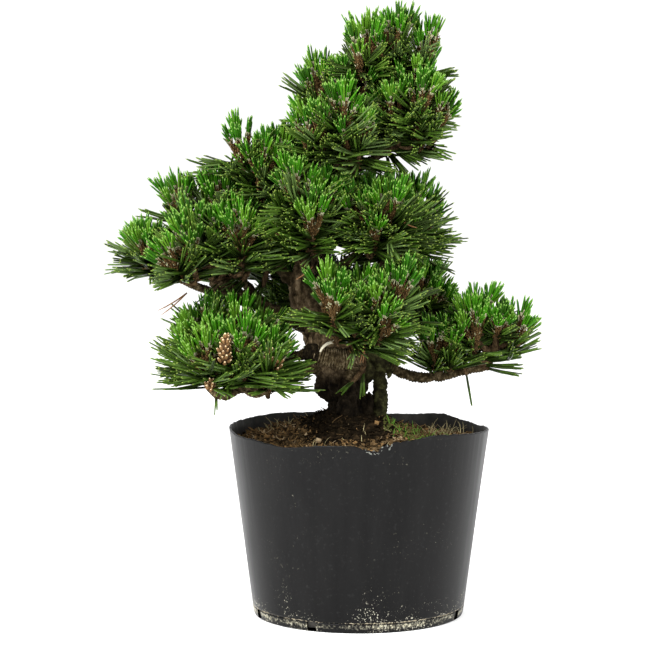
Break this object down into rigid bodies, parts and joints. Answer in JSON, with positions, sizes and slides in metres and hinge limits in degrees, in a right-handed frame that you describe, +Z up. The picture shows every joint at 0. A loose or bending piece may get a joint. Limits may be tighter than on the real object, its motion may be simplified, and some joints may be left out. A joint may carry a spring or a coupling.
{
  "type": "kotobuki japanese black pine in a nursery pot",
  "caption": "Small bonsai pine with a thick, curved, tapering trunk, a leaning crown of stiff upright needle tufts and a low side bough, in a cut-down tapering plastic pot.",
  "frame": {"origin": "centre of the flat underside of the pot", "axes": "+Z up along the pot's axis, -Y toward the front of the tree, +X toward the side with the low side bough"},
  "size_m": [0.2998, 0.1772, 0.4026],
  "materials": {
    "black_nursery_plastic": "thin moulded plastic, half matt, with a hand-cut rim",
    "potting_soil": "brown fibrous bark and peat mix",
    "pine_bark": "rough flaking dark brown bark",
    "weathered_cut_wood": "weathered bark with a grey cut end",
    "pine_needles": "stiff glossy green needles"
  },
  "bodies": {
    "root": {"bough_apex_back": "pine_bark", "bough_apex_front": "pine_bark", "bough_apex_left": "pine_bark", "bough_apex_right": "pine_bark", "bough_back_left": "pine_bark", "bough_back_low": "pine_bark", "bough_centre": "pine_bark", "bough_front_centre": "pine_bark", "bough_left": "pine_bark", "bough_left_back": "pine_bark", "bough_left_high": "pine_bark", "bough_left_tip": "pine_bark", "bough_low_left": "pine_bark", "bough_low_left_rear": "pine_bark", "bough_low_right": "pine_bark", "bough_mid_back": "pine_bark", "bough_mid_right": "pine_bark", "bough_right_back": "pine_bark", "bough_right_shoulder": "pine_bark", "bough_upper_left": "pine_bark", "bough_upper_left_back": "pine_bark", "cut_stub": "weathered_cut_wood", "foliage_apex_back": "pine_needles", "foliage_apex_front": "pine_needles", "foliage_apex_left": "pine_needles", "foliage_apex_right": "pine_needles", "foliage_apex_top": "pine_needles", "foliage_back_left": "pine_needles", "foliage_back_low": "pine_needles", "foliage_centre": "pine_needles", "foliage_front_centre": "pine_needles", "foliage_left_back": "pine_needles", "foliage_left_front": "pine_needles", "foliage_left_high": "pine_needles", "foliage_left_tip": "pine_needles", "foliage_low_left": "pine_needles", "foliage_low_left_rear": "pine_needles", "foliage_low_right": "pine_needles", "foliage_low_right_inner": "pine_needles", "foliage_mid_back": "pine_needles", "foliage_mid_right": "pine_needles", "foliage_right_back": "pine_needles", "foliage_right_shoulder": "pine_needles", "foliage_upper_left": "pine_needles", "foliage_upper_left_back": "pine_needles", "pot": "black_nursery_plastic", "side_stem": "pine_bark", "soil": "potting_soil", "spur_low_right": "pine_bark", "trunk": "pine_bark"}
  },
  "joints": []
}
